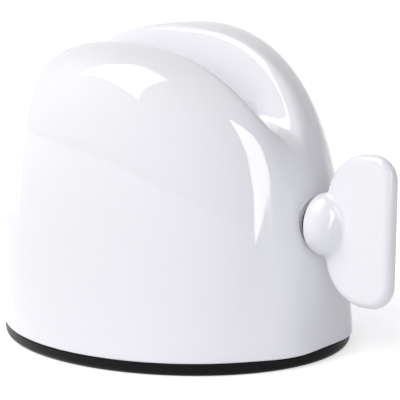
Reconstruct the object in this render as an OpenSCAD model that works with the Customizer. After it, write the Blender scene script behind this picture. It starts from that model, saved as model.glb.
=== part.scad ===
// Winding toothpaste dispenser: a two-lobed dome on a rubber pad, with a slotted roller and its key.
// +X runs along the roller to the key, -Y is the front, +Z is up.
// The origin is the centre of the underside, on the surface that the dispenser stands on.

/* [Body] */
// Length of the body along the roller
body_length = 70; // [60:1:84]
// Depth of the body from front to back
body_depth = 51; // [46:1:62]
// Height of the body above the pad's rim
body_height = 53.7; // [48:0.1:65]
// Thickness of the body's shell
wall = 2.2; // [1.8:0.1:2.6]

/* [Valley] */
// Depth of the valley below the lobes' crests
valley_depth = 13; // [8:0.1:15]
// Width of the valley, measured half way up its sides
valley_width = 9; // [8.5:0.5:12]
// Width of each sloping side of the valley
valley_side = 8; // [5:0.1:8.5]
// Width of the tube slot in the valley's floor
slot_width = 5; // [4.6:0.1:6]
// Distance from the body's end to the slot's end
slot_margin = 14; // [10:0.5:15]

/* [Roller] */
// Height of the roller's axis above the standing surface
axis_height = 25.3; // [21:0.1:28]
// Diameter of the roller
roller_d = 9; // [8:0.5:12]
// Width of the slit that grips the tube's tail
slit_width = 2.2; // [1.6:0.1:2.8]
// Diameter of the shank and of the far journal
journal_d = 6; // [5.6:0.1:6.4]
// Running gap all round a journal
running_gap = 0.05; // [0.02:0.01:0.09]
// Side of the key's square tang
tang_side = 4; // [3:0.1:4.2]
// How far the tang reaches into the roller
tang_depth = 4.6; // [4:0.1:5]
// Diameter of the drive pin
pin_d = 1.5; // [1:0.1:2]

/* [Key] */
// Diameter of the hub
hub_d = 11.5; // [10.5:0.1:14]
// Length of the hub along the axis
hub_length = 6.4; // [6:0.1:10]
// Height of the wing
wing_height = 28; // [24:0.5:36]
// Reach of the wing beyond the hub's flat face
wing_reach = 16.5; // [15:0.5:22]
// Thickness of the wing
wing_thickness = 3.2; // [2.8:0.1:4.4]
// Turn of the wing away from upright; a minus leans its top to the back
wing_turn = -7; // [-15:1:15]

/* [Base] */
// Height of the pad's rim
pad_height = 2.4; // [2:0.1:3.4]
// Thickness of the pad's floor
pad_floor = 1; // [0.8:0.1:1.2]
// Thickness of the base plate
plate_thickness = 2; // [1.9:0.1:3]
// Diameter of the screws' shanks
screw_d = 2.5; // [2:0.1:3]

/* [Hidden] */
$fn = 48;
over = 1;

half_length = body_length / 2;
half_depth = body_depth / 2;
axis_rise = axis_height - pad_height;

// Exponents of the superellipses that shape the body: front view, side view, and ends of the valley's floor
lobe_x = 2.6;
lobe_z = 3.2;
side_y = 5.4;
side_z = 4.75;
floor_x = 3;
floor_z = 24;
// The valley fades out below this share of the height
fade_share = 0.75;
// Valley at the foot of the body, as shares of the half depth: middle of the side, and half its width
foot_middle = 0.33;
foot_run = 0.31;
// Sideways shift of a sloping side for each millimetre of shell
side_shift = 1.15;

// Facets of the body: along an arch, round the foot, and across the valley's floor, its side and the lobe
columns = 24;
foot_steps = 72;
floor_rows = 1;
side_rows = 4;
outer_rows = 6;
// Smallest width of a section, so that no division by zero happens at the top
least_width = 0.001;
half_rows = floor_rows + side_rows + outer_rows;
rows = 2 * half_rows - 1;

// Outer face of the end wall, on the axis and where it comes closest to the hub's rim
end_x = wall_x(axis_rise);
rim_x = wall_x(axis_rise - hub_d / 2);
hub_gap = 0.3;
hub_x = rim_x + hub_gap;
washer_thickness = 1.3;
washer_gap = 0.05;
washer_d = journal_d + 1.2;
flange_d = 9.2;
flange_outer_x = hub_x - washer_thickness - washer_gap;
flange_inner_x = end_x - wall / 2;
bush_d = 8;
seat_d = 12;
// How far a bush's seat stands out from the inner face of its wall
seat_rise = 1.5;
seat_x = end_x - wall - seat_rise;
roller_gap = 0.2;
roller_end = seat_x - roller_gap;
slot_half = half_length - slot_margin;
slit_margin = 0.7;
slit_half = slot_half - slit_margin;
bore_d = journal_d + 2 * running_gap;
wing_edge = wing_thickness / 2;
pin_x = roller_end - tang_depth / 2;
pin_gap = 0.02;
pin_hole_d = pin_d + 2 * pin_gap;
// How far the pin's ends lie below the roller's surface
pin_inset = 0.3;

plate_gap = 0.15;
plate_top = pad_floor + plate_thickness;
screw_x = 0.61 * half_length;
screw_y = 0.555 * half_depth;
boss_d = 7;
boss_height = 9;
head_d = 4.2;
head_height = 1.1;
screw_length = 8;
// Depth of thread that bites into the boss, and the gaps round the shank and the head in the plate
thread_bite = 0.15;
pilot_d = screw_d - 2 * thread_bite;
shank_gap = 0.05;
head_gap = 0.1;

// Smooth rise from 0 to 1
function ease(v) = let (c = min(max(v, 0), 1)) c * c * (3 - 2 * c);
// Smooth fall from 1 at -1 to 0 at 1
function sink(s) = let (c = min(max((1 - s) / 2, 0), 1)) c * c * c * (c * (6 * c - 15) + 10);
function mix(a, b, share) = a + (b - a) * share;
// The other coordinate of a superellipse, for one coordinate and the two exponents
function rest(v, power, other) = pow(max(1 - pow(min(v, 1), power), 0), 1 / other);

// Outer face of an end wall at a height above the pad's rim
function wall_x(rise) = half_length * rest(rise / body_height, lobe_z, lobe_x);

// Distance of a row from the middle plane: valley floor, then its sloping side, then the lobe
function row_y(row, middle, run, depth) =
    row <= floor_rows ? (middle - run) * row / floor_rows
    : row <= floor_rows + side_rows ? middle + run * (2 * (row - floor_rows) / side_rows - 1)
    : let (first = asin(pow((middle + run) / depth, side_y / 2)),
           share = (row - floor_rows - side_rows) / outer_rows)
      depth * pow(sin(mix(first, 90, share)), 2 / side_y);

// One point of the body's surface, moved inwards by inset, on an arch from +X over the top to -X
function body_point(inset, row, arch) =
    let (length = half_length - inset,
         depth = half_depth - inset,
         height = body_height - inset,
         rise = ease(sin(arch) / fade_share),
         middle = mix(foot_middle * half_depth, valley_width / 2, rise) + side_shift * inset,
         run = mix(foot_run * half_depth, valley_side / 2, rise),
         y = row_y(abs(row), middle, run, depth),
         share_y = y / depth,
         level = rest(share_y, side_y, side_z) * sin(arch),
         width = max(rest(level, side_z, side_y), least_width),
         lobe = length * rest(level, lobe_z, lobe_x) * rest(share_y / width, 2, 2),
         floor_height = height - valley_depth,
         bottom = length * rest(floor_height * sin(arch) / height, lobe_z, lobe_x)
                  * rest(sin(arch), floor_z, floor_x),
         sunk = sink((y - middle) / run))
    [sign(cos(arch)) * mix(lobe, bottom, sunk), sign(row) * y,
     pad_height + mix(height * level, floor_height * sin(arch), sunk)];

function skin(inset) =
    [for (row = [1 - half_rows : half_rows - 1]) for (k = [0 : columns])
        body_point(inset, row, 180 * k / columns)];
// Two triangles for a quad that runs clockwise seen from outside
function quad(a, b, c, d) = [[a, b, c], [a, c, d]];
function at(side, row, k) = (side * rows + row) * (columns + 1) + k;

// Hollow body: the outer skin, the inner skin, and the flat rim that joins them at the foot
module body_shell() {
    last = rows - 1;
    tips = 2 * rows * (columns + 1);
    front = [tips, tips + 1];
    back = [tips + 2, tips + 3];
    inner_depth = half_depth - wall;
    points = concat(skin(0), skin(wall),
        [[0, -half_depth, pad_height], [0, -inner_depth, pad_height],
         [0, half_depth, pad_height], [0, inner_depth, pad_height]]);
    faces = [
        for (i = [0 : rows - 2]) for (k = [0 : columns - 1])
            each quad(at(0, i, k), at(0, i, k + 1), at(0, i + 1, k + 1), at(0, i + 1, k)),
        for (i = [0 : rows - 2]) for (k = [0 : columns - 1])
            each quad(at(1, i, k), at(1, i + 1, k), at(1, i + 1, k + 1), at(1, i, k + 1)),
        for (k = [0 : columns - 1]) [front[0], at(0, 0, k + 1), at(0, 0, k)],
        for (k = [0 : columns - 1]) [back[0], at(0, last, k), at(0, last, k + 1)],
        for (k = [0 : columns - 1]) [front[1], at(1, 0, k), at(1, 0, k + 1)],
        for (k = [0 : columns - 1]) [back[1], at(1, last, k + 1), at(1, last, k)],
        for (i = [0 : rows - 2]) each quad(at(0, i, 0), at(0, i + 1, 0), at(1, i + 1, 0), at(1, i, 0)),
        for (i = [0 : rows - 2])
            each quad(at(0, i, columns), at(1, i, columns), at(1, i + 1, columns), at(0, i + 1, columns)),
        each quad(front[0], at(0, 0, 0), at(1, 0, 0), front[1]),
        each quad(front[0], front[1], at(1, 0, columns), at(0, 0, columns)),
        each quad(back[0], back[1], at(1, last, 0), at(0, last, 0)),
        each quad(back[0], at(0, last, columns), at(1, last, columns), back[1])];
    polyhedron(points, faces);
}

// Cylinder along +X on the roller's axis
module rod(d, from, to) {
    translate([from, 0, axis_height]) rotate([0, 90, 0]) cylinder(d = d, h = to - from);
}

module at_screws() {
    for (x = [-screw_x, screw_x]) for (y = [-screw_y, screw_y]) translate([x, y, 0]) children();
}

// Slot with round ends that runs along X
module long_slot(half, width, bottom, top) {
    round_x = half - width / 2;
    translate([-round_x, -width / 2, bottom]) cube([2 * round_x, width, top - bottom]);
    for (x = [-round_x, round_x]) translate([x, 0, bottom]) cylinder(d = width, h = top - bottom);
}

// Ellipse of the body's foot, moved inwards by inset
module foot(inset) {
    polygon([for (k = [0 : foot_steps - 1]) let (a = 360 * k / foot_steps)
        [(half_length - inset) * cos(a), (half_depth - inset) * sin(a)]]);
}

module housing() {
    color([0.93, 0.93, 0.96]) difference() {
        union() {
            body_shell();
            at_screws() translate([0, 0, plate_top]) cylinder(d = boss_d, h = boss_height);
            rod(seat_d, seat_x, end_x - wall / 2);
            mirror([1, 0, 0]) rod(seat_d, seat_x, end_x - wall / 2);
        }
        rod(bush_d, seat_x - over, end_x + over);
        rod(flange_d, flange_inner_x, end_x + over);
        mirror([1, 0, 0]) rod(bush_d, seat_x - over, flange_inner_x);
        long_slot(slot_half, slot_width, axis_height + roller_d / 2, pad_height + body_height);
        at_screws() translate([0, 0, plate_top - over]) cylinder(d = pilot_d, h = boss_height);
    }
}

module key_bush() {
    color([0.93, 0.93, 0.96]) difference() {
        union() {
            rod(bush_d, seat_x, flange_outer_x);
            rod(flange_d, flange_inner_x, flange_outer_x);
        }
        rod(bore_d, seat_x - over, flange_outer_x + over);
    }
}

module far_bush() {
    color([0.93, 0.93, 0.96]) mirror([1, 0, 0]) difference() {
        rod(bush_d, seat_x, flange_inner_x);
        rod(bore_d, seat_x - over, flange_inner_x + over);
    }
}

module roller() {
    color([0.86, 0.86, 0.84]) difference() {
        union() {
            rod(roller_d, -roller_end, roller_end);
            rod(journal_d, roller_gap - flange_inner_x, over - roller_end);
        }
        translate([0, 0, axis_height - roller_d]) long_slot(slit_half, slit_width, 0, 2 * roller_d);
        socket = tang_side + 2 * running_gap;
        translate([roller_end - tang_depth - running_gap, -socket / 2, axis_height - socket / 2])
            cube([tang_depth + over, socket, socket]);
        translate([pin_x, roller_d, axis_height]) rotate([90, 0, 0])
            cylinder(d = pin_hole_d, h = 2 * roller_d);
    }
}

// Outline of the hub: flat face, round shoulder, then a long dome
module hub_outline() {
    shoulder = 2;
    face_inset = 0.9;
    face_r = hub_d / 2 - face_inset;
    steps = 12;
    polygon(concat([[0, 0], [face_r, 0]],
        [for (k = [1 : steps]) let (a = 90 * k / steps)
            [face_r + (hub_d / 2 - face_r) * sin(a), shoulder * (1 - cos(a))]],
        [for (k = [1 : steps]) let (a = 90 * k / steps)
            [hub_d / 2 * cos(a), shoulder + (hub_length - shoulder) * sin(a)]]));
}

// Rounded disc that makes one corner of the wing, with z counted from the roller's axis
module wing_corner(x, z, r) {
    translate([hub_x + x, 0, z]) rotate([90, 0, 0])
        rotate_extrude($fn = 32) translate([r - wing_edge, 0])
            intersection() {
                circle(wing_edge, $fn = 16);
                translate([wing_edge - r, -wing_edge]) square([r, 2 * wing_edge]);
            }
}

module winding_key() {
    root = 1.8;
    inner_r = 0.47 * (wing_reach - root);
    outer_r = 4.2;
    color([0.93, 0.93, 0.96]) difference() {
        union() {
            translate([hub_x, 0, axis_height]) rotate([0, 90, 0]) rotate_extrude() hub_outline();
            translate([0, 0, axis_height]) rotate([wing_turn, 0, 0]) hull() for (side = [-1, 1]) {
                wing_corner(root + inner_r, side * (wing_height / 2 - inner_r), inner_r);
                wing_corner(wing_reach - outer_r, side * (wing_height / 2 - outer_r), outer_r);
            }
            rod(journal_d, roller_end, hub_x + over);
            translate([roller_end - tang_depth, -tang_side / 2, axis_height - tang_side / 2])
                cube([tang_depth + over, tang_side, tang_side]);
        }
        translate([pin_x, tang_side, axis_height]) rotate([90, 0, 0])
            cylinder(d = pin_hole_d, h = 2 * tang_side);
    }
}

module drive_pin() {
    length = roller_d - 2 * pin_inset;
    color([0.7, 0.7, 0.72]) translate([pin_x, length / 2, axis_height]) rotate([90, 0, 0])
        cylinder(d = pin_d, h = length);
}

module friction_washer() {
    color([0.08, 0.08, 0.09]) difference() {
        rod(washer_d, flange_outer_x + washer_gap, hub_x);
        rod(bore_d, flange_outer_x, hub_x + over);
    }
}

module base_plate() {
    color([0.12, 0.12, 0.13]) difference() {
        translate([0, 0, pad_floor]) linear_extrude(plate_thickness) foot(wall + plate_gap);
        at_screws() {
            cylinder(d = screw_d + 2 * shank_gap, h = plate_top + over);
            cylinder(d = head_d + 2 * head_gap, h = pad_floor + head_height);
        }
    }
}

// Rubber tray: flat floor, round lower edge and an upright rim
module anti_slip_pad() {
    edge = 1.2;
    arc = 5;
    outline = concat(
        [for (k = [0 : arc]) let (a = 90 * k / arc) [edge * (1 - sin(a)), edge * (1 - cos(a))]],
        [[0, pad_height], [wall, pad_height], [wall, pad_floor]]);
    count = len(outline);
    last = foot_steps - 1;
    ring = [for (p = outline) for (k = [0 : last]) let (a = 360 * k / foot_steps)
        [(half_length - p[0]) * cos(a), (half_depth - p[0]) * sin(a), p[1]]];
    color([0.08, 0.08, 0.09]) polyhedron(ring, [
        [for (k = [0 : last]) k],
        [for (k = [0 : last]) count * foot_steps - 1 - k],
        for (i = [0 : count - 2]) for (k = [0 : last])
            let (low = i * foot_steps, high = low + foot_steps, next = (k + 1) % foot_steps)
            each quad(low + k, high + k, high + next, low + next)]);
}

// Pan-head screw with a cross recess, its head's underside at height 0
module screw() {
    tip = 1.2;
    tip_d = 0.6;
    recess = 0.5;
    recess_depth = 0.6;
    difference() {
        union() {
            translate([0, 0, -head_height]) cylinder(d = head_d, h = head_height);
            cylinder(d = screw_d, h = screw_length - tip);
            translate([0, 0, screw_length - tip]) cylinder(d1 = screw_d, d2 = tip_d, h = tip);
        }
        for (turn = [0, 90]) rotate(turn)
            translate([-head_d / 4, -recess / 2, -head_height - over])
                cube([head_d / 2, recess, over + recess_depth]);
    }
}

module base_screws() {
    color([0.7, 0.7, 0.72]) at_screws() translate([0, 0, pad_floor + head_height]) screw();
}

housing();
winding_key();
roller();
drive_pin();
key_bush();
far_bush();
friction_washer();
base_plate();
anti_slip_pad();
base_screws();
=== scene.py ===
# %% [markdown]
# A winding toothpaste dispenser, built in Blender on top of its CAD model. The glossy white body, its key
# and the black pad get new smooth meshes, because facets show in a glossy surface. The roller, the bushes
# and the other inner pieces keep their CAD meshes and get a finish. The units are metres.

import math

import bpy
import numpy as np
from mathutils import Matrix, Vector


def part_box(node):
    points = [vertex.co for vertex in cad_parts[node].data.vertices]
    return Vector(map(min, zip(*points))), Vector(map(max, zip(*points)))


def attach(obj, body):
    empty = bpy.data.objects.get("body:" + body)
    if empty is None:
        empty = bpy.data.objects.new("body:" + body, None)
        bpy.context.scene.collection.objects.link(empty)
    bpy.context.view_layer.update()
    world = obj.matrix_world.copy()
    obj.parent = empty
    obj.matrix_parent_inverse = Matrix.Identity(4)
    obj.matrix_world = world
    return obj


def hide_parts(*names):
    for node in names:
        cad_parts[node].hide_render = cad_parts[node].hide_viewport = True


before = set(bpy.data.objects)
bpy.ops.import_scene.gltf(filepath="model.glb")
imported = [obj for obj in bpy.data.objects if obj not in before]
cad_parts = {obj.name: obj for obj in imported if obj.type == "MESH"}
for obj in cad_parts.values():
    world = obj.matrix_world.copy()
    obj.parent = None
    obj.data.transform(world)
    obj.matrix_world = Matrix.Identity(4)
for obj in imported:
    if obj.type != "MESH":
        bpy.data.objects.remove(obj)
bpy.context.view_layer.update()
MM = 0.001

# %% [markdown]
# Every cell needs the same few tools: an object to work on, vertices that are put in place by a formula,
# and a modifier that is applied at once. Operators act on whatever is selected, so each helper first
# clears the selection.

# %% Tools for one object at a time


def only(obj):
    bpy.ops.object.select_all(action="DESELECT")
    obj.select_set(True)
    bpy.context.view_layer.objects.active = obj
    return obj


def added(name):
    obj = only(bpy.context.object)
    obj.name = obj.data.name = name
    return obj


def settle(obj):
    only(obj)
    bpy.ops.object.transform_apply(location=True, rotation=True, scale=True)
    return obj


def place(obj, points):
    obj.data.vertices.foreach_set("co", np.asarray(points, dtype=np.float32).ravel())
    obj.data.update()


def edit(obj, *steps):
    only(obj)
    bpy.ops.object.mode_set(mode="EDIT")
    for step in steps:
        step()
    bpy.ops.object.mode_set(mode="OBJECT")


def everything():
    bpy.ops.mesh.select_all(action="SELECT")


def modify(obj, kind, **settings):
    only(obj)
    bpy.ops.object.modifier_add(type=kind)
    modifier = obj.modifiers[-1]
    for key, value in settings.items():
        setattr(modifier, key, value)
    bpy.ops.object.modifier_apply(modifier=modifier.name)


def combine(obj, other, operation):
    modify(obj, "BOOLEAN", operation=operation, object=other, solver="EXACT")
    bpy.data.objects.remove(other)


def join(first, *others):
    only(first)
    for other in others:
        other.select_set(True)
    bpy.ops.object.join()
    return first


def finish_piece(obj, body, *nodes, slot, angle=30):
    only(obj)
    bpy.ops.object.shade_smooth_by_angle(angle=math.radians(angle))
    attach(obj, body)
    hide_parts(*nodes)
    print(obj.name, "has", sum(len(p.vertices) - 2 for p in obj.data.polygons), "triangles")


# %% [markdown]
# The body is a dome whose level sections are ellipses. Seen from the front and from the side its outline
# is a superellipse, which is a rounded rectangle with no corner where the curve starts. A valley runs
# along the roller and splits the top into two lobes. A sculptor would carve it. A formula does it here,
# because the CAD model uses the same one and the two have to agree.

# %% Sizes of the body
low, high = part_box("housing")
HALF_LENGTH, HALF_DEPTH, FOOT = [round(v / MM, 3) for v in (high.x, high.y, low.z)]
HEIGHT = 53.7
WALL = 2.2
VALLEY_DEPTH, VALLEY_WIDTH, VALLEY_SIDE = 13.0, 9.0, 8.0
LOBE_X, LOBE_Z, SIDE_Y, SIDE_Z, FLOOR_X, FLOOR_Z = 2.6, 3.2, 5.4, 4.75, 3.0, 24.0
FADE_SHARE, FOOT_MIDDLE, FOOT_RUN, SIDE_SHIFT = 0.75, 0.33, 0.31, 1.15
print("body", 2 * HALF_LENGTH, "x", 2 * HALF_DEPTH, "x", HEIGHT, "mm")

# %% The formula of the body's surface


def ease(v):
    c = np.clip(v, 0, 1)
    return c * c * (3 - 2 * c)


def sink(s):
    c = np.clip((1 - s) / 2, 0, 1)
    return c**3 * (c * (6 * c - 15) + 10)


def rest(v, power, other):
    return np.maximum(1 - np.minimum(v, 1) ** power, 0) ** (1 / other)


def mix(a, b, share):
    return a + (b - a) * share


def carve(y, rise, inset):
    """Distance from the middle and height of the skin, for a y and a share of the arch over it."""
    length, depth, height = HALF_LENGTH - inset, HALF_DEPTH - inset, HEIGHT - inset
    share = np.abs(y) / depth
    level = rest(share, SIDE_Y, SIDE_Z) * rise
    width = np.maximum(rest(level, SIDE_Z, SIDE_Y), 1e-3)
    lobe = length * rest(level, LOBE_Z, LOBE_X) * rest(share / width, 2, 2)
    fade = ease(rise / FADE_SHARE)
    middle = mix(FOOT_MIDDLE * HALF_DEPTH, VALLEY_WIDTH / 2, fade) + SIDE_SHIFT * inset
    run = mix(FOOT_RUN * HALF_DEPTH, VALLEY_SIDE / 2, fade)
    floor = height - VALLEY_DEPTH
    bottom = length * rest(floor * rise / height, LOBE_Z, LOBE_X) * rest(rise, FLOOR_Z, FLOOR_X)
    sunk = sink((np.abs(y) - middle) / run)
    return mix(lobe, bottom, sunk), mix(height * level, floor * rise, sunk)


# %% [markdown]
# The skin starts as a flat grid, one side of it for the way round and the other for the way up. Its rings
# are evenly spaced along the outline, and its columns are closer together near the valley, where the
# crests need them. On the outer skin five close rings round off the lower edge. The grid's ends meet, so
# doubles are merged.

# %% Outer and inner skin
FOOT_ROUND, FOOT_STEPS = 0.35, (0, 0.1, 0.3, 0.6, 1)
AROUND, UP_OUTSIDE, UP_INSIDE = 320, 140, 56
CROWDING, SAMPLES, MERGE = 0.3, 20001, 2e-7


def ring_levels(count, inset):
    angle = np.linspace(0, math.pi / 2, SAMPLES)
    across = (HALF_LENGTH - inset) * np.cos(angle) ** (2 / LOBE_X)
    level = np.sin(angle) ** (2 / LOBE_Z)
    way = np.concatenate([[0], np.cumsum(np.hypot(np.diff(across), HEIGHT * np.diff(level)))])
    return np.interp(np.linspace(0, way[-1], count + 1), way, level)


def skin(name, levels, inset, edge):
    bpy.ops.mesh.primitive_grid_add(x_subdivisions=AROUND, y_subdivisions=len(levels) - 1, size=1)
    obj = added(name)
    turn = np.linspace(0, 2 * math.pi, AROUND + 1)
    turn = turn - CROWDING * np.sin(2 * turn)
    level, turn = np.meshgrid(levels, turn, indexing="ij")
    y = (HALF_DEPTH - inset) * rest(level, SIDE_Z, SIDE_Y) * np.sin(turn)
    top = np.maximum(rest(np.abs(y) / (HALF_DEPTH - inset), SIDE_Y, SIDE_Z), 1e-9)
    x, z = carve(y, np.minimum(level / top, 1), inset)
    x = x * np.sign(np.round(np.cos(turn), 9))
    lack = np.clip(1 - z / max(edge, 1e-9), 0, 1)
    drawn_in = edge * (1 - np.sqrt(1 - lack**2))
    x, y = x * (1 - drawn_in / HALF_LENGTH), y * (1 - drawn_in / HALF_DEPTH)
    place(obj, np.stack([x, y, z + FOOT], axis=-1) * MM)
    edit(obj, everything, lambda: bpy.ops.mesh.remove_doubles(threshold=MERGE))
    return obj


ABOVE_EDGE = 0.008
levels = [FOOT_ROUND / HEIGHT * k for k in FOOT_STEPS]
levels += [v for v in ring_levels(UP_OUTSIDE, 0) if v > ABOVE_EDGE]
outer = skin("body_shell", levels, 0, FOOT_ROUND)
inner = skin("inner_skin", ring_levels(UP_INSIDE, WALL), WALL, 0)
print(len(outer.data.vertices), "points outside and", len(inner.data.vertices), "inside")

# %% [markdown]
# Both skins are open at the foot. The inner one is turned inside out, because its faces have to look into
# the hollow. Then the two open loops are selected and bridged, which makes the flat rim on the pad.

# %% Join the skins at the foot
edit(inner, everything, lambda: bpy.ops.mesh.flip_normals())
shell = join(outer, inner)


def open_edges():
    bpy.ops.mesh.select_all(action="DESELECT")
    bpy.ops.mesh.select_mode(type="EDGE")
    bpy.ops.mesh.select_non_manifold(extend=False, use_wire=False, use_multi_face=False,
                                     use_non_contiguous=False, use_verts=False)


def outward():
    everything()
    bpy.ops.mesh.normals_make_consistent(inside=False)


edit(shell, open_edges, lambda: bpy.ops.mesh.bridge_edge_loops(), outward)
print("shell", len(shell.data.polygons), "faces")

# %% [markdown]
# Inside the body are the two seats that hold the bushes and the four bosses for the base screws. They are
# cylinders that the shell takes up with a union. The holes come after, as differences, so that they go
# through both. The places and the bush sizes are read from the CAD nodes. The seats, bosses and pilot
# holes belong to the housing's own node, so their sizes are typed in, as is the screw heads' radius.

# %% Seats, bosses and bores
bush_low, bush_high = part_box("key_bush")
far_low, far_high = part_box("far_bush")
screw_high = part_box("base_screws")[1]
washer_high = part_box("friction_washer")[1]
AXIS = (bush_low.z + bush_high.z) / 2
SEAT_R, BUSH_R, FLANGE_R = 6 * MM, far_high.y, bush_high.y
BOSS_R, BOSS_FOOT, BOSS_TOP, PILOT_R, HEAD_R = 3.5 * MM, 3 * MM, 12 * MM, 1.1 * MM, 2.1 * MM
SCREW = Vector((screw_high.x - HEAD_R, screw_high.y - HEAD_R, 0))
OVERLAP, SMALL_OVERLAP = MM, 0.2 * MM


def rod(name, radius, start, end):
    """A cylinder along +X on the roller's axis."""
    bpy.ops.mesh.primitive_cylinder_add(
        vertices=64, radius=radius, depth=end - start,
        location=((start + end) / 2, 0, AXIS), rotation=(0, math.pi / 2, 0))
    return settle(added(name))


def posts(name, radius, bottom, top):
    """Four cylinders along +Z, one at each screw."""
    made = []
    for x in (-SCREW.x, SCREW.x):
        for y in (-SCREW.y, SCREW.y):
            bpy.ops.mesh.primitive_cylinder_add(vertices=48, radius=radius, depth=top - bottom,
                                                location=(x, y, (bottom + top) / 2))
            made.append(settle(added(name)))
    return join(*made)


seats = [rod("seat", SEAT_R, bush_low.x, -far_low.x), rod("seat", SEAT_R, far_low.x, far_high.x)]
combine(shell, join(*seats, posts("boss", BOSS_R, BOSS_FOOT, BOSS_TOP)), "UNION")
combine(shell, join(rod("bore", BUSH_R, bush_low.x - OVERLAP, -far_low.x + SMALL_OVERLAP),
                    rod("blind", BUSH_R, far_low.x, far_high.x + OVERLAP),
                    posts("pilot", PILOT_R, BOSS_FOOT - OVERLAP, BOSS_TOP - OVERLAP)), "DIFFERENCE")
combine(shell, rod("flange", FLANGE_R, -far_low.x, HALF_LENGTH * MM + OVERLAP), "DIFFERENCE")
print("shell", len(shell.data.polygons), "faces with its bores")

# %% [markdown]
# The tube's tail goes down through a slot in the valley's floor. A slot cut straight down would leave a
# knife edge, so the cutter flares like a trumpet where it leaves the floor: its upper rings follow the
# valley, and the last one meets it at a tangent. The edge of the cut comes out round.

# %% Tube slot
SLOT_HALF, SLOT_R, LIP, ABOVE_AXIS = 21.0, 2.5, 0.5, 5


def floor_height(x, y):
    """Height of the outer skin over a point of the valley, found by halving the arch again and again."""
    lower, upper = np.full(x.shape, 0.5), np.ones(x.shape)
    for _ in range(40):
        middle = (lower + upper) / 2
        inside = carve(y, middle, 0)[0] > np.abs(x)
        lower, upper = np.where(inside, middle, lower), np.where(inside, upper, middle)
    return carve(y, lower, 0)[1] + FOOT


def sleeve(name, rings):
    """A tube from rings of points, each ring closed on itself."""
    rings = np.concatenate([rings, rings[:, :1]], axis=1)
    around, up = rings.shape[1] - 1, len(rings) - 1
    bpy.ops.mesh.primitive_grid_add(x_subdivisions=around, y_subdivisions=up, size=1)
    obj = added(name)
    place(obj, rings * MM)
    edit(obj, everything, lambda: bpy.ops.mesh.remove_doubles(threshold=MERGE),
         lambda: bpy.ops.mesh.fill_holes(sides=0), everything,
         lambda: bpy.ops.mesh.normals_make_consistent(inside=False))
    return obj


def slot_outline(grown):
    straight = np.linspace(-1, 1, 40) * (SLOT_HALF - SLOT_R)
    bend = np.linspace(-math.pi / 2, math.pi / 2, 24)[1:-1]
    r = SLOT_R + grown
    end = np.stack([SLOT_HALF - SLOT_R + r * np.cos(bend), r * np.sin(bend)], axis=-1)
    side = np.stack([straight, np.full(straight.shape, -r)], axis=-1)
    return np.concatenate([side, end, -side, -end])


quarter = np.linspace(0, math.pi / 2, 7)
flare = [(LIP * (1 - math.cos(a)), 1 - math.sin(a)) for a in quarter]
rings = [(0, None), *flare, (LIP, -1)]
cut = []
for grown, dip in rings:
    line = slot_outline(grown)
    if dip is None:
        z = np.full(len(line), AXIS / MM + ABOVE_AXIS)
    elif dip < 0:
        z = np.full(len(line), FOOT + HEIGHT)
    else:
        z = floor_height(line[:, 0], line[:, 1]) - LIP * dip
    cut.append(np.column_stack([line, z]))
combine(shell, sleeve("slot_cutter", np.array(cut)), "DIFFERENCE")
print("slot", 2 * SLOT_HALF, "x", 2 * SLOT_R, "mm")
finish_piece(shell, "body", "housing", slot="gloss_white_abs")

# %% [markdown]
# The wing of the key is a flat plate with round corners and full round edges. It starts as a cube. The
# four short edges are bevelled first, wide ones next to the hub and tighter ones outside, and then the
# two face outlines, so the edge becomes nearly a half circle. Edges are picked by their place, as by
# hand. Last, the wing is turned a little about the roller's axis, because the photographed key isn't
# quite upright.

# %% Wing
key_low, key_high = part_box("winding_key")
HUB_X = washer_high.x
WING_ROOT, WING_END, WING_Y = HUB_X + 1.8 * MM, key_high.x, 1.6 * MM
WING_HALF, WING_DROP, WING_TURN = 13.7 * MM, 0.3 * MM, math.radians(-7)
INNER_R, OUTER_R, EDGE_R = 9 * MM, 4.6 * MM, 1.58 * MM


def pick_edges(obj, test):
    only(obj)
    for part in (obj.data.vertices, obj.data.edges, obj.data.polygons):
        part.foreach_set("select", [False] * len(part))
    points = obj.data.vertices
    for e in obj.data.edges:
        e.select = test(points[e.vertices[0]].co, points[e.vertices[1]].co)


def bevel(obj, radius, segments, test):
    pick_edges(obj, test)
    edit(obj, lambda: bpy.ops.mesh.select_mode(type="EDGE"),
         lambda: bpy.ops.mesh.bevel(offset=radius, segments=segments, affect="EDGES", clamp_overlap=True))


size = Vector((WING_END - WING_ROOT, 2 * WING_Y, 2 * WING_HALF))
middle_x = (WING_ROOT + WING_END) / 2
bpy.ops.mesh.primitive_cube_add(size=1, location=(middle_x, 0, AXIS - WING_DROP), scale=size)
wing = settle(added("wing"))
bevel(wing, INNER_R, 16, lambda a, b: abs(a.y - b.y) > WING_Y and a.x < middle_x)
bevel(wing, OUTER_R, 12, lambda a, b: abs(a.y - b.y) > WING_Y and min(a.x, b.x) > WING_END - MM)
bevel(wing, EDGE_R, 8, lambda a, b: abs(a.y - b.y) < 1e-6)
to_axis = Matrix.Translation((0, 0, AXIS))
wing.data.transform(to_axis @ Matrix.Rotation(WING_TURN, 4, "X") @ to_axis.inverted())
print("wing", [round(v / MM, 1) for v in wing.dimensions], "mm")

# %% [markdown]
# The hub is a button: a flat back, a round shoulder and a long dome that the wing grows out of. It starts
# as a filled circle on the roller's axis. Each ring is an extrusion that is then resized about the axis,
# and the last ring collapses into the tip.

# %% Hub
FACE_R, HUB_R, SHOULDER, DOME = 4.85 * MM, key_high.y, 2 * MM, 4.4 * MM
hub_rings = [(FACE_R + (HUB_R - FACE_R) * math.sin(a), SHOULDER * (1 - math.cos(a)))
             for a in np.radians(np.arange(10, 91, 10))]
hub_rings += [(HUB_R * math.cos(a), SHOULDER + DOME * math.sin(a))
              for a in np.radians(np.arange(5, 86, 5))]

bpy.ops.mesh.primitive_circle_add(vertices=64, radius=FACE_R, fill_type="NGON",
                                  location=(HUB_X, 0, AXIS), rotation=(0, math.pi / 2, 0))
hub = settle(added("hub"))


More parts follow.
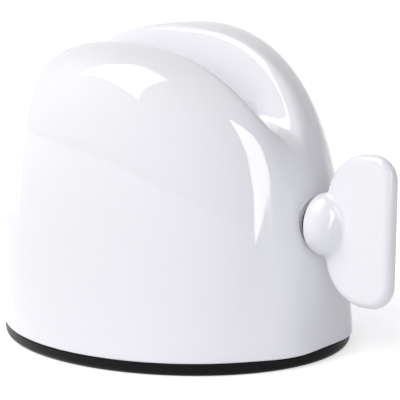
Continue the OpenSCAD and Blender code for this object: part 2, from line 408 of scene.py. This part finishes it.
def grow_rings(along, across, rings, radius, centre):
    """Extrude the selected face ring by ring: each ring is (radius, distance) from where it started."""
    done = 0
    for ring_radius, way in rings:
        bpy.ops.mesh.extrude_region_move(TRANSFORM_OT_translate={"value": along * (way - done)})
        scale = ring_radius / radius
        bpy.ops.transform.resize(value=[scale if v else 1 for v in across], center_override=centre)
        radius, done = ring_radius, way


edit(hub, everything,
     lambda: grow_rings(Vector((1, 0, 0)), (0, 1, 1), hub_rings, FACE_R, (HUB_X, 0, AXIS)),
     lambda: bpy.ops.mesh.merge(type="COLLAPSE"), everything,
     lambda: bpy.ops.mesh.normals_make_consistent(inside=False))
print("hub", [round(v / MM, 2) for v in hub.dimensions], "mm")

# %% [markdown]
# On the real key the wing flows into the hub with a soft fillet. A bevel can't follow the joint of a dome
# and a plate, so the two are united, remeshed with small voxels and smoothed, most of all near the joint.
# The shank and the square tang that reaches into the roller are added after that and stay crisp.

# %% Key
combine(hub, wing, "UNION")
key = hub
key.name = key.data.name = "winding_key_smooth"
FILLET, VOXEL = 1.3 * MM, 0.16 * MM
modify(key, "REMESH", mode="VOXEL", voxel_size=VOXEL, use_smooth_shade=True)


def near_joint(co):
    """1 on the seam between hub and wing, 0 from FILLET away."""
    way = co.x - HUB_X - SHOULDER
    radius = HUB_R * (max(0, 1 - (way / DOME) ** 2) ** 0.5 if way > 0 else 1)
    off_hub = abs(math.hypot(co.y, co.z - AXIS) - radius) if way < DOME else abs(way - DOME)
    across = co.y * math.cos(WING_TURN) + (co.z - AXIS) * math.sin(WING_TURN)
    off_wing = abs(abs(across) - WING_Y) if co.x > WING_ROOT else WING_ROOT - co.x
    return max(0, 1 - max(off_hub, off_wing) / FILLET)


group = key.vertex_groups.new(name="joint")
for v in key.data.vertices:
    weight = near_joint(v.co)
    if weight > 0:
        group.add([v.index], weight, "REPLACE")
modify(key, "SMOOTH", factor=0.5, iterations=80, vertex_group="joint")
modify(key, "SMOOTH", factor=0.5, iterations=8)
key.vertex_groups.clear()

TANG_R, SHANK_R, SHANK_X = 2 * MM, 3 * MM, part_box("roller")[1].x
PIN_GAP, PIN_HOLE_LENGTH = 0.02 * MM, 8 * MM
pin_low, pin_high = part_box("drive_pin")
bpy.ops.mesh.primitive_cube_add(size=1, location=((key_low.x + SHANK_X + MM) / 2, 0, AXIS),
                                scale=(SHANK_X + MM - key_low.x, 2 * TANG_R, 2 * TANG_R))
tang = settle(added("tang"))
combine(key, rod("shank", SHANK_R, SHANK_X, HUB_X + MM), "UNION")
combine(key, tang, "UNION")
bpy.ops.mesh.primitive_cylinder_add(
    vertices=32, radius=(pin_high.x - pin_low.x) / 2 + PIN_GAP, depth=PIN_HOLE_LENGTH,
    location=((pin_low.x + pin_high.x) / 2, 0, AXIS), rotation=(math.pi / 2, 0, 0))
combine(key, settle(added("pin_hole")), "DIFFERENCE")
finish_piece(key, "winder", "winding_key", slot="gloss_white_abs", angle=40)

# %% [markdown]
# The black pad is a shallow rubber tray that is pressed over the base plate. It starts as a filled
# ellipse on the floor. Extrusions make the round lower edge, the upright rim, its small top rounding
# and then, going down again, the inside of the tray.

# %% Anti-slip pad
pad_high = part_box("anti_slip_pad")[1]
plate_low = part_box("base_plate")[0]
PAD_L, PAD_D, RIM_TOP, TRAY = pad_high.x, pad_high.y, pad_high.z, plate_low.z
EDGE, TOP_ROUND, RIM = 1.2 * MM, 0.3 * MM, 2.2 * MM
profile = [(EDGE * (1 - math.sin(a)), EDGE * (1 - math.cos(a)))
           for a in np.radians(np.arange(9, 91, 9))]
profile += [(0, RIM_TOP - TOP_ROUND)]
profile += [(TOP_ROUND * (1 - math.cos(a)), RIM_TOP - TOP_ROUND * (1 - math.sin(a)))
            for a in np.radians(np.arange(15, 91, 15))]
profile += [(RIM, RIM_TOP), (RIM, TRAY)]

bpy.ops.mesh.primitive_circle_add(vertices=256, radius=1, fill_type="NGON", location=(0, 0, 0))
pad = added("rubber_pad")
pad.scale = (PAD_L - EDGE, PAD_D - EDGE, 1)
settle(pad)


def grow_profile():
    inset, height = EDGE, 0
    for new_inset, new_height in profile:
        bpy.ops.mesh.extrude_region_move(TRANSFORM_OT_translate={"value": (0, 0, new_height - height)})
        stretch = ((PAD_L - new_inset) / (PAD_L - inset), (PAD_D - new_inset) / (PAD_D - inset), 1)
        bpy.ops.transform.resize(value=stretch, center_override=(0, 0, 0))
        inset, height = new_inset, new_height


edit(pad, everything, grow_profile, outward)
finish_piece(pad, "body", "anti_slip_pad", slot="black_rubber")

# %% [markdown]
# Moulded plastic and rubber are never quite even: the colour drifts a little, some patches are glossier
# than others, and the skin has a fine texture. One node group makes these three from noise. Each material
# sets its own amounts, so a polished lid and a matt tray come from the same group.

# %% Node group for moulded surfaces


def moulded_group():
    tree = bpy.data.node_groups.new("moulded_surface", "ShaderNodeTree")
    face = tree.interface
    face.new_socket("Vector", in_out="INPUT", socket_type="NodeSocketVector")
    face.new_socket("Colour", in_out="INPUT", socket_type="NodeSocketColor")
    for name in ("Colour Drift", "Gloss", "Gloss Drift", "Patch Scale", "Texture Scale"):
        face.new_socket(name, in_out="INPUT", socket_type="NodeSocketFloat")
    face.new_socket("Colour", in_out="OUTPUT", socket_type="NodeSocketColor")
    face.new_socket("Roughness", in_out="OUTPUT", socket_type="NodeSocketFloat")
    face.new_socket("Height", in_out="OUTPUT", socket_type="NodeSocketFloat")
    nodes, links = tree.nodes, tree.links
    given, made = nodes.new("NodeGroupInput"), nodes.new("NodeGroupOutput")

    def noise(scale, detail):
        node = nodes.new("ShaderNodeTexNoise")
        node.inputs["Detail"].default_value = detail
        links.new(given.outputs["Vector"], node.inputs["Vector"])
        links.new(given.outputs[scale], node.inputs["Scale"])
        return node.outputs["Fac"]

    def sum_up(kind, a, b):
        node = nodes.new("ShaderNodeMath")
        node.operation = kind
        for socket, value in zip(node.inputs, (a, b)):
            if isinstance(value, (int, float)):
                socket.default_value = value
            else:
                links.new(value, socket)
        return node.outputs[0]

    patch, texture = noise("Patch Scale", 2), noise("Texture Scale", 3)
    swing = sum_up("SUBTRACT", patch, 0.5)
    tint = nodes.new("ShaderNodeHueSaturation")
    links.new(given.outputs["Colour"], tint.inputs["Color"])
    shade = sum_up("MULTIPLY", swing, given.outputs["Colour Drift"])
    links.new(sum_up("ADD", shade, 1), tint.inputs["Value"])
    rough = sum_up("ADD", sum_up("MULTIPLY", swing, given.outputs["Gloss Drift"]), given.outputs["Gloss"])
    links.new(tint.outputs["Color"], made.inputs["Colour"])
    links.new(sum_up("MAXIMUM", rough, 0.02), made.inputs["Roughness"])
    links.new(texture, made.inputs["Height"])
    print("group", tree.name, "with", len(nodes), "nodes")
    return tree


MOULDED = moulded_group()

# %% [markdown]
# Each finish is a Principled shader fed by that group. A finish is a short list: its colour, how much the
# colour and the gloss drift, the size of the patches and of the texture, and the depth of the texture.

# %% Finishes


def moulded(name, colour, drift, gloss, gloss_drift, patch, texture, depth, metallic=0.0, specular=0.5):
    material = bpy.data.materials.new(name)
    material.use_nodes = True
    nodes, links = material.node_tree.nodes, material.node_tree.links
    shader = nodes["Principled BSDF"]
    shader.inputs["Metallic"].default_value = metallic
    shader.inputs["Specular IOR Level"].default_value = specular
    place_of = nodes.new("ShaderNodeTexCoord")
    surface = nodes.new("ShaderNodeGroup")
    surface.node_tree = MOULDED
    values = {"Colour": (*colour, 1), "Colour Drift": drift, "Gloss": gloss, "Gloss Drift": gloss_drift,
              "Patch Scale": patch, "Texture Scale": texture}
    for key, value in values.items():
        surface.inputs[key].default_value = value
    bump = nodes.new("ShaderNodeBump")
    bump.inputs["Distance"].default_value = depth
    links.new(place_of.outputs["Object"], surface.inputs["Vector"])
    links.new(surface.outputs["Colour"], shader.inputs["Base Color"])
    links.new(surface.outputs["Roughness"], shader.inputs["Roughness"])
    links.new(surface.outputs["Height"], bump.inputs["Height"])
    links.new(bump.outputs["Normal"], shader.inputs["Normal"])
    return material


white = moulded("gloss_white_plastic", (0.84, 0.84, 0.89), 0.015, 0.05, 0.02, 25, 400, 0.000002)
satin = moulded("satin_natural_acetal", (0.78, 0.78, 0.74), 0.03, 0.32, 0.08, 60, 900, 0.00001)
black_plastic = moulded("matt_black_plastic", (0.02, 0.02, 0.022), 0.1, 0.5, 0.1, 60, 2500, 0.00002)
rubber = moulded("satin_black_rubber", (0.004, 0.004, 0.005), 0.15, 0.36, 0.1, 90, 1800, 0.00002,
                 specular=0.1)
zinc = moulded("zinc_plated_steel", (0.6, 0.61, 0.64), 0.06, 0.28, 0.12, 300, 3000, 0.000005,
               metallic=1.0)

finishes = {
    "roller": satin, "key_bush": white, "far_bush": white, "drive_pin": zinc, "base_screws": zinc,
    "friction_washer": rubber, "base_plate": black_plastic, "anti_slip_pad": rubber, "housing": white,
    "winding_key": white,
}
for node_name, material in finishes.items():
    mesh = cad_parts[node_name].data
    mesh.materials.clear()
    mesh.materials.append(material)
for piece, material in ((shell, white), (key, white), (pad, rubber)):
    piece.data.materials.clear()
    piece.data.materials.append(material)
print("finishes:", sorted({m.name for m in finishes.values()}))

# %% [markdown]
# The dispenser stands on a white table in a white studio. The floor is a plain diffuse sheet. Only the
# camera and the reflections see it glow a little as well, so that it reads as white and still shows the
# soft shadow at the foot. The room works the same way: white to look at, and dim as a light.

# %% Floor and surroundings
FLOOR_GLOW, ROOM_LIGHT = 0.6, 0.24


def shader_node(tree, kind, **values):
    node = tree.nodes.new(kind)
    for socket, value in values.items():
        node.inputs[socket].default_value = value
    return node


def seen_directly(tree):
    """1 for camera, glossy and transmission rays, 0 for the rays that carry light to dull surfaces."""
    path = tree.nodes.new("ShaderNodeLightPath")
    total = path.outputs["Is Camera Ray"]
    for ray in ("Is Glossy Ray", "Is Transmission Ray"):
        either = tree.nodes.new("ShaderNodeMath")
        either.operation = "MAXIMUM"
        tree.links.new(total, either.inputs[0])
        tree.links.new(path.outputs[ray], either.inputs[1])
        total = either.outputs[0]
    return total


bpy.ops.mesh.primitive_plane_add(size=12, location=(0, 0, 0))
floor = added("floor")
paper = bpy.data.materials.new("white_paper")
paper.use_nodes = True
tree = paper.node_tree
tree.nodes.clear()
out = tree.nodes.new("ShaderNodeOutputMaterial")
sheet = shader_node(tree, "ShaderNodeBsdfDiffuse", Color=(0.82, 0.82, 0.83, 1))
glow = shader_node(tree, "ShaderNodeEmission", Color=(1, 1, 1, 1))
both = tree.nodes.new("ShaderNodeAddShader")
lift = shader_node(tree, "ShaderNodeMath")
lift.operation = "MULTIPLY"
lift.inputs[1].default_value = FLOOR_GLOW
tree.links.new(seen_directly(tree), lift.inputs[0])
tree.links.new(lift.outputs[0], glow.inputs["Strength"])
tree.links.new(sheet.outputs[0], both.inputs[0])
tree.links.new(glow.outputs[0], both.inputs[1])
tree.links.new(both.outputs[0], out.inputs["Surface"])
floor.data.materials.append(paper)

world = bpy.data.worlds.new("studio")
bpy.context.scene.world = world
world.use_nodes = True
tree = world.node_tree
tree.nodes.clear()
out = tree.nodes.new("ShaderNodeOutputWorld")
room = shader_node(tree, "ShaderNodeBackground", Color=(1, 1, 1, 1), Strength=ROOM_LIGHT)
white_room = shader_node(tree, "ShaderNodeBackground", Color=(1, 1, 1, 1), Strength=1.0)
choose = tree.nodes.new("ShaderNodeMixShader")
tree.links.new(seen_directly(tree), choose.inputs["Fac"])
tree.links.new(room.outputs[0], choose.inputs[1])
tree.links.new(white_room.outputs[0], choose.inputs[2])
tree.links.new(choose.outputs[0], out.inputs["Surface"])
print("floor and room are ready")

# %% [markdown]
# Five large soft lamps stand in a half circle round the front, the strongest one high on the left, so the
# body turns gently from white on the left to grey on the right. They are kept out of reflections. What
# shows in the gloss are three bright cards, as a photographer would set them: one overhead, one low on
# the left and one narrow one on the right. Only reflections see them, so they add no light elsewhere.

# %% Lamps and cards
LAMP_WAY, LAMP_SIZE, AIM = 1.1, 0.7, Vector((0, 0, 0.025))


def lamp(name, azimuth, elevation, power, colour=(1, 1, 1)):
    """A soft disc lamp that aims at the body. Azimuth 0 is the front, and 90 is the key's side."""
    turn, lift = math.radians(azimuth), math.radians(elevation)
    toward = Vector((math.sin(turn) * math.cos(lift), -math.cos(turn) * math.cos(lift), math.sin(lift)))
    bpy.ops.object.light_add(type="AREA", location=toward * LAMP_WAY)
    obj = bpy.context.object
    obj.name = name
    obj.data.shape, obj.data.size, obj.data.energy, obj.data.color = "DISK", LAMP_SIZE, power, colour
    obj.rotation_euler = (AIM - obj.location).to_track_quat("-Z", "Y").to_euler()
    obj.visible_camera = obj.visible_glossy = False


def card(name, corners, strength):
    """A flat glowing card with these corners, in mm, that only reflections see."""
    bpy.ops.mesh.primitive_circle_add(vertices=len(corners), radius=1, fill_type="NGON")
    obj = added(name)
    place(obj, np.array(corners) * MM)
    glow = bpy.data.materials.new(name)
    glow.use_nodes = True
    glow.node_tree.nodes.clear()
    light = shader_node(glow.node_tree, "ShaderNodeEmission", Strength=strength)
    end = glow.node_tree.nodes.new("ShaderNodeOutputMaterial")
    glow.node_tree.links.new(light.outputs[0], end.inputs["Surface"])
    obj.data.materials.append(glow)
    obj.visible_camera = obj.visible_diffuse = obj.visible_shadow = obj.visible_transmission = False


lamp("key_lamp", -30, 55, 6.0, (1, 0.98, 0.93))
lamp("front_lamp", -10, 25, 1.2)
lamp("camera_lamp", 30, 25, 2.2)
lamp("right_lamp", 70, 25, 1.6, (0.88, 0.9, 1))
lamp("left_lamp", -90, 25, 3.3, (0.86, 0.9, 1))
OVERHEAD = 700
overhead = [(-766, -216), (-459, 51), (-240, 215), (-182, 188), (55, 26), (55, -190), (78, -598),
            (-72, -489), (-246, -356), (-460, -273)]
card("overhead_card", [(x, y, OVERHEAD) for x, y in overhead], 8)
card("right_card", [(257, -18, 291), (237, 4, 230), (218, 20, 173), (201, 16, 123), (188, -1, 85),
                    (180, -19, 59), (173, -35, 39), (168, -50, 24), (165, -62, 15), (163, -70, 9),
                    (165, -69, 15), (170, -63, 31), (177, -55, 51), (186, -48, 78), (198, -37, 115),
                    (214, -33, 161), (240, -25, 239)], 8)
card("left_card", [(-130, 11, 1), (-146, 14, 4.2), (-166, 21, 8.2), (-190, 35, 13), (-219, 61, 18.8),
                   (-244, 105, 23.8), (-281, 151, 31.2), (-387, 260, 52.4), (-709, 300, 116.8),
                   (-508, 73, 76.6), (-322, -8, 39.4), (-221, -30, 19.2), (-172, -33, 9.4),
                   (-130, -28, 1)], 6)

# %% [markdown]
# The camera stands where the photographer's did: a little above the table and to the right of the front,
# far away, with a long lens. It is turned so that the body sits left of the middle, as in the photograph,
# and rolled a few degrees because the photograph isn't level.

# %% Camera
AZIMUTH, ELEVATION, ROLL = (math.radians(v) for v in (40.645, 13.626, -3.242))
DISTANCE, SCALE, TARGET = 0.8613, 5.522, Vector((0, 0, 0.0324))
PICTURE, SENSOR = 400, 36
OFFSET = Vector((166.82 - PICTURE / 2, PICTURE / 2 - 161.94))

back = Vector((math.sin(AZIMUTH) * math.cos(ELEVATION), -math.cos(AZIMUTH) * math.cos(ELEVATION),
               math.sin(ELEVATION)))
right = Vector((math.cos(AZIMUTH), math.sin(AZIMUTH), 0))
up = back.cross(right)
right, up = (math.cos(ROLL) * right + math.sin(ROLL) * up, math.cos(ROLL) * up - math.sin(ROLL) * right)
focal = SCALE * DISTANCE / MM
middle = (-back - right * (OFFSET.x / focal) - up * (OFFSET.y / focal)).normalized()

lens = bpy.data.cameras.new("camera")
lens.sensor_width = SENSOR
lens.lens = SENSOR * focal / PICTURE
camera = bpy.data.objects.new("camera", lens)
bpy.context.scene.collection.objects.link(camera)
across = middle.cross(up).normalized()
above = across.cross(middle)
camera.matrix_world = Matrix.Translation(TARGET + back * DISTANCE) @ Matrix(
    (across, above, -middle)).transposed().to_4x4()
lens.clip_start, lens.clip_end = 0.01, 50
bpy.context.scene.camera = camera
bpy.context.scene.view_settings.view_transform = "Standard"
print("camera lens", round(lens.lens, 1), "mm at", [round(v, 3) for v in camera.location])
